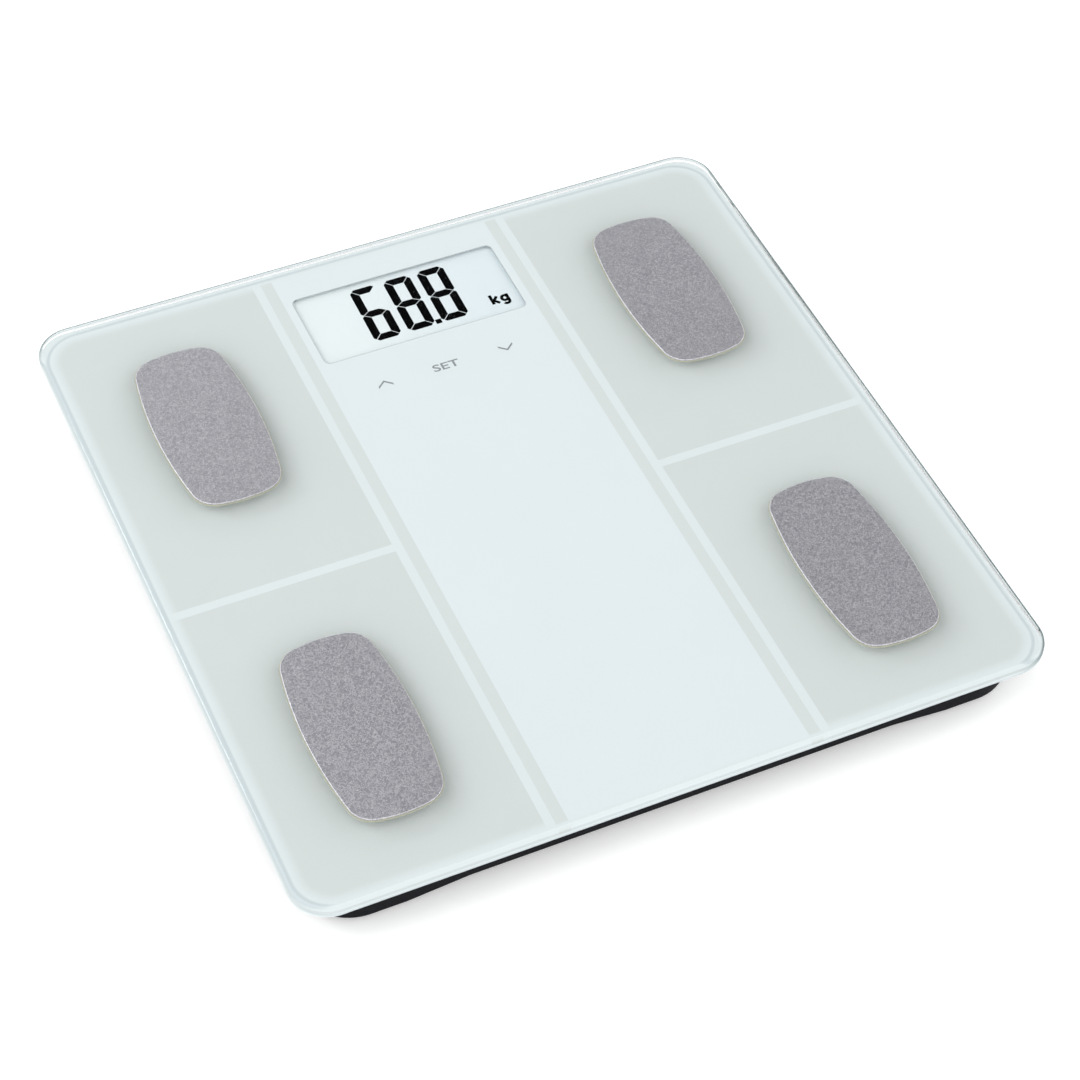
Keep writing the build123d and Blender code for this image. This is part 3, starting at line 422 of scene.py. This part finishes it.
def rimShade(tree, place, path):
    # share of the painted edge shade: on the upper half of the rim, where it turns away from the eye
    look = glassLook
    inset = insetFrom(tree, place, plateHalfX, plateHalfY, plate["corner"])
    axes = addNode(tree, "ShaderNodeSeparateXYZ", {0: place}).outputs
    middle = (glassLow.z + glassHigh.z) / 2
    onRim = rampTo(tree, inset, plate["pencil"], look["rimStart"] * plate["pencil"])
    upper = rampTo(tree, axes["Z"], middle + look["rimFrom"] * mm, middle + look["rimTo"] * mm)
    away = tree.nodes.new("ShaderNodeLayerWeight").outputs["Facing"]
    turned = rampTo(tree, away, look["turnFrom"], look["turnTo"], 0.0, look["rimShare"])
    # the painted shade deepens along the plate's diagonal, from the near left sides to the far right ones,
    # which are painted as more in shade
    diagonal = mathNode(tree, "MULTIPLY_ADD", axes["X"], plateHalfY / plateHalfX, axes["Y"])
    start, end = look["diagonalFrom"] * mm, look["diagonalTo"] * mm
    deeper = rampTo(tree, diagonal, start, end, look["nearShare"], 1.0)
    share = mathNode(tree, "MULTIPLY", onRim, upper)
    for factor in (turned, path["Is Camera Ray"], deeper):
        share = mathNode(tree, "MULTIPLY", share, factor)
    return share


def glassMaterial():
    # clear to the eye, with painted shade on the rim; shadow and diffuse rays pass straight through
    material, tree, shader, output, place = newMaterial("clearGlass")
    colour = drift(tree, place, tint(*glassLook["body"]), **glassDrift)
    tree.links.new(colour, shader.inputs["Base Color"])
    shader.inputs["Roughness"].default_value = 0.0
    shader.inputs["IOR"].default_value = glassLook["ior"]
    shader.inputs["Transmission Weight"].default_value = 1.0
    path = tree.nodes.new("ShaderNodeLightPath").outputs
    through = addNode(tree, "ShaderNodeBsdfTransparent", {"Color": tint(*glassLook["shade"])})
    rimShadeBsdf = addNode(tree, "ShaderNodeBsdfDiffuse", {"Color": tint(*glassLook["rim"])})
    seen = addNode(tree, "ShaderNodeMixShader", {
        0: rimShade(tree, place, path), 1: shader.outputs[0], 2: rimShadeBsdf.outputs[0],
    })
    soft = mathNode(tree, "MAXIMUM", path["Is Shadow Ray"], path["Is Diffuse Ray"])
    mixed = addNode(tree, "ShaderNodeMixShader", {0: soft, 1: seen.outputs[0], 2: through.outputs[0]})
    tree.links.new(mixed.outputs[0], output.inputs["Surface"])
    return material


# lit panel, digits and marks

panelLook = dict(left=(227, 231, 232), right=(220, 226, 230), glow=0.08, rough=0.35)
panelDrift = dict(cloud=20, cloudSpread=0.01, fleck=0.5, fleckSpread=0.008)
inkLook = dict(digit=(3, 3, 4), digitRough=0.6, mark=(142, 146, 149), markRough=0.7)
inkDrift = dict(cloud=4, cloudSpread=0.06, fleck=0.2, fleckSpread=0.06)
inkGap = 0.005 * mm  # kept between the ink and the face it lies on


def litPanelMaterial(halfX):
    # pale polariser with a faint glow from behind, and painted shade that darkens it towards the right
    material, tree, shader, output, place = newMaterial("litPanel")
    x = addNode(tree, "ShaderNodeSeparateXYZ", {0: place}).outputs["X"]
    # painted shade: the panel's colour darkens from left to right, as if the light fell from the left
    share = rampTo(tree, x, -halfX, halfX)
    colour = mixColour(tree, share, tint(*panelLook["left"]), tint(*panelLook["right"]))
    colour = drift(tree, place, colour, **panelDrift)
    for socket in ("Base Color", "Emission Color"):
        tree.links.new(colour, shader.inputs[socket])
    shader.inputs["Emission Strength"].default_value = panelLook["glow"]
    shader.inputs["Roughness"].default_value = panelLook["rough"]
    return material


def inkMaterial(name, colour, rough):
    material, tree, shader, output, place = newMaterial(name)
    ink = drift(tree, place, tint(*colour), **inkDrift)
    tree.links.new(ink, shader.inputs["Base Color"])
    shader.inputs["Roughness"].default_value = rough
    shader.inputs["Specular IOR Level"].default_value = 0.0
    return material


# mesh helpers


def makePiece(name, points, faces, material, body, smooth):
    mesh = bpy.data.meshes.new(name)
    mesh.from_pydata(points.tolist(), [], [face for block in faces for face in block.tolist()])
    mesh.polygons.foreach_set("use_smooth", np.full(len(mesh.polygons), smooth))
    mesh.materials.append(material)
    mesh.update()
    piece = bpy.data.objects.new(name, mesh)
    bpy.context.scene.collection.objects.link(piece)
    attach(piece, body)
    return piece


def ringFaces(rows, count, wrap):
    # quads between neighbouring rings; the last ring also joins the first where the skin wraps round
    index = np.arange(rows * count).reshape(rows, count)
    if wrap:
        lower, upper = index, np.roll(index, -1, axis=0)
    else:
        lower, upper = index[:-1], index[1:]
    side = [lower, np.roll(lower, -1, axis=1), np.roll(upper, -1, axis=1), upper]
    return np.stack(side, axis=-1).reshape(-1, 4), index


def closedSkin(rings):
    # rings of points (ring, point, xyz), closed at both ends by a fan to the ring's middle
    rows, count, _ = rings.shape
    quads, index = ringFaces(rows, count, False)
    poles = np.stack([rings[0].mean(axis=0), rings[-1].mean(axis=0)])
    base = rows * count
    first = np.stack([np.full(count, base), np.roll(index[0], -1), index[0]], axis=-1)
    last = np.stack([np.full(count, base + 1), index[-1], np.roll(index[-1], -1)], axis=-1)
    return np.vstack([rings.reshape(-1, 3), poles]), [quads, first, last]


def roundedLoop(halfX, halfY, corner, middle=(0.0, 0.0), steps=24):
    # a quarter arc round each corner's centre; straight sides join one arc's end to the next one's start
    turn = (np.arange(4)[:, None] + np.linspace(0, 1, steps + 1)) * np.pi / 2
    signX = np.array([1, -1, -1, 1])[:, None]
    signY = np.array([1, 1, -1, -1])[:, None]
    x = middle[0] + signX * (halfX - corner) + corner * np.cos(turn)
    y = middle[1] + signY * (halfY - corner) + corner * np.sin(turn)
    return np.stack([x.ravel(), y.ravel()], axis=1)


def atHeight(loop, z):
    return np.column_stack([loop, np.full(len(loop), z)])


# glass plate

glassLow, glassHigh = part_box("glass_platform")
plate = dict(corner=15.0 * mm, pencil=1.8 * mm)
plateHalfX, plateHalfY = glassHigh.x, glassHigh.y


def makeGlassPlate():
    # the profile of insets and heights runs out under the plate, round its edge and back over the top
    arc = np.linspace(0, np.pi / 2, glassLook["edgeSteps"] + 1)
    radius = plate["pencil"]
    lowInset = radius * (1 - np.sin(arc))
    lowZ = glassLow.z + radius * (1 - np.cos(arc))
    inset = np.concatenate([[radius + glassLook["support"] * mm], lowInset, lowInset[::-1]])
    height = np.concatenate([[glassLow.z], lowZ, glassHigh.z - (lowZ[::-1] - glassLow.z)])
    inset = np.append(inset, inset[0])
    height = np.append(height, glassHigh.z)
    corner, steps = plate["corner"], glassLook["cornerSteps"]
    rings = np.stack([
        atHeight(roundedLoop(plateHalfX - d, plateHalfY - d, corner - d, steps=steps), z)
        for d, z in zip(inset, height)
    ])
    points, faces = closedSkin(rings)
    piece = makePiece("glass_plate", points, faces, glassMaterial(), "platform", True)
    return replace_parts(piece, "glass_platform")


makeGlassPlate()
print("glass plate made")

# printed sheet with its window

filmLow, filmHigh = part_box("back_print")
window = dict(half=(44.2 * mm, 19.7 * mm), corner=2.5 * mm, backInset=38.1 * mm)
windowMiddle = (0.0, plateHalfY - window["backInset"])


def makePrintSheet():
    # a closed strip round the window: out along the underside, up the rim, back over the top, down the wall
    corner, lap = plate["corner"] - plate["pencil"], printLook["lap"] * mm
    outer = roundedLoop(filmHigh.x, filmHigh.y, corner)
    lapped = roundedLoop(filmHigh.x + lap, filmHigh.y + lap, corner + lap)
    inner = roundedLoop(*window["half"], window["corner"], windowMiddle)
    top = filmHigh.z + printLook["lift"] * mm
    # at the end of the lap the rounded rim has risen by its radius less the triangle's height there
    rise = plate["pencil"] - math.sqrt(plate["pencil"] ** 2 - lap ** 2)
    rings = np.stack([
        atHeight(inner, filmLow.z), atHeight(outer, filmLow.z), atHeight(lapped, filmLow.z + rise),
        atHeight(lapped, top + rise), atHeight(outer, top), atHeight(inner, top),
    ])
    quads, _ = ringFaces(len(rings), len(outer), True)
    material = printMaterial(plateHalfX, plateHalfY, plate["corner"] + printLook["fadeCorner"] * mm)
    points = rings.reshape(-1, 3)
    piece = makePiece("print_sheet", points, [quads], material, "platform", False)
    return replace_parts(piece, "back_print")


makePrintSheet()
print("printed sheet made")

# digits

digits = dict(
    text="68.8", left=-20.8, base=100.0, width=12.1, height=31.6, pitch=14.9,
    bar=3.8, chamfer=2.1, gap=0.3, slant=0.016, point=2.5, thickness=0.04,
)
segmentsOf = {"6": "afgedc", "8": "abcdefg"}


def segmentOutline(letter):
    # one bar of the seven, six corners, with mitred ends and the digit's outer corners cut off
    w, h, t, c = (digits[key] for key in ("width", "height", "bar", "chamfer"))
    mid, half = h / 2, c / 2
    above, below = mid + t / 2, mid - t / 2
    top = [(half, h - half), (c, h), (w - c, h), (w - half, h - half), (w - t, h - t), (t, h - t)]
    right = [
        (w - half, h - half), (w, h - c), (w, mid + half), (w - half, mid), (w - t, above), (w - t, h - t),
    ]
    bar = [(half, mid), (t, above), (w - t, above), (w - half, mid), (w - t, below), (t, below)]
    shapes = {"a": top, "d": top, "b": right, "c": right, "f": right, "e": right, "g": bar}
    outline = np.array(shapes[letter])
    if letter in "dce":
        outline[:, 1] = h - outline[:, 1]
    if letter in "fe":
        outline[:, 0] = w - outline[:, 0]
    return outline


def counterClockwise(outline):
    ahead = np.roll(outline, -1, axis=0)
    area = np.sum(outline[:, 0] * ahead[:, 1] - ahead[:, 0] * outline[:, 1])
    return outline if area > 0 else outline[::-1]


def shrink(outline, amount):
    # every side of a convex outline moves inwards, and neighbouring sides meet again
    outline = counterClockwise(outline)
    side = np.roll(outline, -1, axis=0) - outline
    inward = np.stack([-side[:, 1], side[:, 0]], axis=1) / np.linalg.norm(side, axis=1)[:, None]
    start = outline + inward * amount
    back, backSide = np.roll(start, 1, axis=0), np.roll(side, 1, axis=0)
    cross = backSide[:, 0] * side[:, 1] - backSide[:, 1] * side[:, 0]
    gap = start - back
    share = (gap[:, 0] * side[:, 1] - gap[:, 1] * side[:, 0]) / cross
    return back + backSide * share[:, None]


def makeSlabs(name, outlines, low, high, material, body):
    # flat outlines in metres, each raised into a thin closed slab
    points, faces, start = [], [], 0
    for outline in outlines:
        outline = counterClockwise(outline)
        count = len(outline)
        points.append(np.vstack([atHeight(outline, low), atHeight(outline, high)]))
        index = np.arange(count)
        ahead = np.roll(index, -1)
        faces.append(start + np.stack([index, ahead, ahead + count, index + count], axis=-1))
        faces.append(start + index[None, ::-1])
        faces.append(start + count + index[None, :])
        start += 2 * count
    return makePiece(name, np.vstack(points), faces, material, body, False)


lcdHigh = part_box("lcd_panel")[1]
digitLow = lcdHigh.z + inkGap
digitHigh = digitLow + digits["thickness"] * mm
digitInk = inkMaterial("digitInk", inkLook["digit"], inkLook["digitRough"])


def makeDigits():
    outlines = []
    x = digits["left"]
    for mark in digits["text"]:
        if mark == ".":
            size, between = digits["point"], digits["pitch"] - digits["width"]
            left = x - between / 2 - size / 2
            square = np.array([(0, 0), (size, 0), (size, size), (0, size)])
            outlines.append(square + (left, digits["base"]))
            continue
        for letter in segmentsOf[mark]:
            outline = shrink(segmentOutline(letter), digits["gap"] / 2)
            outline[:, 0] += x + digits["slant"] * outline[:, 1]
            outlines.append(outline + (0, digits["base"]))
        x += digits["pitch"]
    slabs = [outline * mm for outline in outlines]
    return makeSlabs("lcd_digits", slabs, digitLow, digitHigh, digitInk, "platform")


makeDigits()
print("digits made")

# unit mark and key marks

marks = dict(
    unit=dict(
        left=31.9, base=101.5, rise=5.6, body=4.1, tail=1.25, width=3.9, gap=0.35, stroke=1.3,
        armFoot=0.3, legTop=(0.35, 0.5),  # where the k's slanting strokes start, as shares of its size
        tailTurn=-150,  # degrees that the g's tail runs round
    ),
    set=dict(text="SET", left=-5.6, right=5.6, low=73.75, high=77.65, bold=0.014),
    arrowWidth=6.3, arrowHeight=3.7, arrowStroke=1.0, arrowX=26.5, arrowY=75.7, thickness=0.03,
)


def makeLettering(name, spec, low, material):
    # plain lettering as a mesh, fitted to its box and laid flat at the given height
    curve = bpy.data.curves.new(name, "FONT")
    curve.body = spec["text"]
    curve.offset = spec["bold"]
    curve.extrude = 0.05  # any depth will do, since the mesh is fitted to its box below
    draft = bpy.data.objects.new(name, curve)
    bpy.context.scene.collection.objects.link(draft)
    bpy.context.view_layer.update()
    mesh = bpy.data.meshes.new_from_object(draft.evaluated_get(bpy.context.evaluated_depsgraph_get()))
    bpy.data.objects.remove(draft)
    points = np.zeros(len(mesh.vertices) * 3)
    mesh.vertices.foreach_get("co", points)
    points = points.reshape(-1, 3)
    start, span = points.min(axis=0), np.ptp(points, axis=0)
    wanted = np.array([spec["left"], spec["low"], 0.0]) * mm
    size = np.array([spec["right"] - spec["left"], spec["high"] - spec["low"], marks["thickness"]]) * mm
    points = (points - start) / span * size + wanted + (0, 0, low)
    mesh.vertices.foreach_set("co", points.ravel())
    mesh.materials.clear()
    mesh.materials.append(material)
    mesh.update()
    piece = bpy.data.objects.new(name, mesh)
    bpy.context.scene.collection.objects.link(piece)
    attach(piece, "platform")
    return piece


def strokeBand(path, width):
    # a stroke of even width: its path moved to both sides along the normals
    path = np.array(path, dtype=float)
    along = np.gradient(path, axis=0)
    normal = np.stack([-along[:, 1], along[:, 0]], axis=1) / np.linalg.norm(along, axis=1)[:, None]
    side = normal * width / 2
    return np.vstack([path + side, (path - side)[::-1]])


def arcPath(middle, radii, start, end, count=17):
    turn = np.radians(np.linspace(start, end, count))
    return np.stack([np.cos(turn), np.sin(turn)], axis=1) * radii + middle


def unitOutlines():
    # k: a stem and two slanting strokes; g: a bowl of two arcs, a stem and a tail
    unit = marks["unit"]
    body, width, half = unit["body"], unit["width"], unit["stroke"] / 2
    start = width + unit["gap"]
    middle = start + width / 2
    bowl = (middle, body / 2), (width / 2 - half, body / 2 - half)
    right = start + width - half
    legX, legY = unit["legTop"]
    paths = [
        [(half, 0), (half, unit["rise"])],
        [(half, unit["armFoot"] * body), (width - half, body)],
        [(legX * width, legY * body), (width - half, 0)],
        arcPath(*bowl, 90, 270),
        arcPath(*bowl, 270, 450),
        [(right, body), (right, 0)],
        arcPath((middle, 0), (width / 2 - half, unit["tail"]), 0, unit["tailTurn"]),
    ]
    return [(strokeBand(path, 2 * half) + (unit["left"], unit["base"])) * mm for path in paths]


def arrowOutlines(side, way):
    # two strokes of one chevron that meet at its tip
    halfW, h, s = marks["arrowWidth"] / 2, marks["arrowHeight"], marks["arrowStroke"]
    outlines = []
    for hand in (-1, 1):
        outline = np.array([(0, h / 2), (0, h / 2 - s), (hand * halfW, -h / 2), (hand * halfW, -h / 2 + s)])
        outlines.append((outline * (1, way) + (side * marks["arrowX"], marks["arrowY"])) * mm)
    return outlines


markInk = inkMaterial("keyInk", inkLook["mark"], inkLook["markRough"])
inkLow = filmHigh.z + printLook["lift"] * mm + inkGap
makeSlabs("unit_mark", unitOutlines(), digitLow, digitHigh, digitInk, "platform")
makeLettering("set_mark", marks["set"], inkLow, markInk)
makeSlabs(
    "arrow_marks", arrowOutlines(-1, 1) + arrowOutlines(1, -1), inkLow, inkLow + marks["thickness"] * mm,
    markInk, "platform",
)
print("marks made")

# finishes for the CAD nodes that stay

slotOf = {part["node"]: part["material_slot"] for part in frame["record"]["subparts"]}
finishes = {name: slotMaterial(name, finish) for name, finish in slotFinish.items()}
finishes["electrode"] = electrodeMaterial()
finishes["lcd"] = litPanelMaterial(lcdHigh.x)
for name, node in nodes.items():
    slotName = slotOf[name]
    if slotName in finishes:
        node.data.materials.clear()
        node.data.materials.append(finishes[slotName])
print("finishes set on", len(nodes), "nodes")

# floor, light and camera

studio = dict(
    floor=(250, 250, 250), floorLift=0.25, floorReach=6.0, floorRough=0.9,
    sky=1.235, dark=0.02,
    darkFrom=(147, 55),  # azimuth and elevation of the dark area's middle
    darkCore=0.955, darkEdge=0.885,  # cosines of the angles where it is fully dark and where it ends
    lamps=[
        dict(name="softTop", place=(-1.1, 0.2, 1.5), aim=(0, 0, 0), size=1.8, power=4.0),
        dict(name="edgeStrip", place=(-1.02, 0.95, 0.86), aim=(0, 0, 0), size=0.45, power=3.0),
    ],
)
floorDrift = dict(cloud=400, cloudSpread=0.004, fleck=2.0, fleckSpread=0.004)
view = dict(
    aim=(-0.85, -18.95, 15.0), azimuth=-25.93, elevation=48.735, roll=2.295,
    distance=1.10878, lens=96.0, sensor=36.0,
)


def makeFloor():
    material, tree, shader, output, place = newMaterial("paleFloor")
    colour = drift(tree, place, tint(*studio["floor"]), **floorDrift)
    for socket in ("Base Color", "Emission Color"):
        tree.links.new(colour, shader.inputs[socket])
    shader.inputs["Emission Strength"].default_value = studio["floorLift"]
    shader.inputs["Roughness"].default_value = studio["floorRough"]
    shader.inputs["Specular IOR Level"].default_value = 0.0
    corners = np.array([(-1, -1, 0), (1, -1, 0), (1, 1, 0), (-1, 1, 0)]) * studio["floorReach"]
    mesh = bpy.data.meshes.new("floor")
    mesh.from_pydata(corners.tolist(), [], [(0, 1, 2, 3)])
    mesh.materials.append(material)
    floor = bpy.data.objects.new("floor", mesh)
    bpy.context.scene.collection.objects.link(floor)


def bearing(azimuth, elevation):
    # unit vector from the object towards a compass bearing, azimuth from the front towards the right
    a, e = math.radians(azimuth), math.radians(elevation)
    return Vector((math.sin(a) * math.cos(e), -math.cos(a) * math.cos(e), math.sin(e)))


def makeWorld():
    # an even white studio with one soft dark area behind, which the glass and the steel mirror
    world = bpy.data.worlds.new("studio")
    bpy.context.scene.world = world
    world.use_nodes = True
    tree = world.node_tree
    tree.nodes.clear()
    way = tree.nodes.new("ShaderNodeTexCoord").outputs["Generated"]
    azimuth, elevation = studio["darkFrom"]
    facing = vectorNode(tree, "DOT_PRODUCT", way, tuple(bearing(azimuth, elevation))).outputs["Value"]
    level = rampTo(tree, facing, studio["darkEdge"], studio["darkCore"], studio["sky"], studio["dark"])
    back = addNode(tree, "ShaderNodeBackground", {"Color": (1.0, 1.0, 1.0, 1.0), "Strength": level})
    output = tree.nodes.new("ShaderNodeOutputWorld")
    tree.links.new(back.outputs[0], output.inputs["Surface"])


def aimAt(item, place, target):
    item.location = place
    item.rotation_mode = "QUATERNION"
    item.rotation_quaternion = (Vector(target) - Vector(place)).to_track_quat("-Z", "Y")


def makeLamps():
    for spec in studio["lamps"]:
        light = bpy.data.lights.new(spec["name"], "AREA")
        light.shape = "DISK"
        light.size = spec["size"]
        light.energy = spec["power"]
        lamp = bpy.data.objects.new(spec["name"], light)
        bpy.context.scene.collection.objects.link(lamp)
        aimAt(lamp, spec["place"], spec["aim"])


def makeCamera():
    lens = bpy.data.cameras.new("camera")
    lens.lens = view["lens"]
    lens.sensor_width = view["sensor"]
    camera = bpy.data.objects.new("camera", lens)
    bpy.context.scene.collection.objects.link(camera)
    target = Vector(view["aim"]) * mm
    place = target + bearing(view["azimuth"], view["elevation"]) * view["distance"]
    aimAt(camera, place, target)
    roll = Quaternion((0, 0, 1), math.radians(view["roll"]))
    camera.rotation_quaternion = camera.rotation_quaternion @ roll
    bpy.context.scene.camera = camera


makeFloor()
makeWorld()
makeLamps()
makeCamera()
bpy.context.scene.view_settings.view_transform = "Standard"
print("floor, light and camera set")
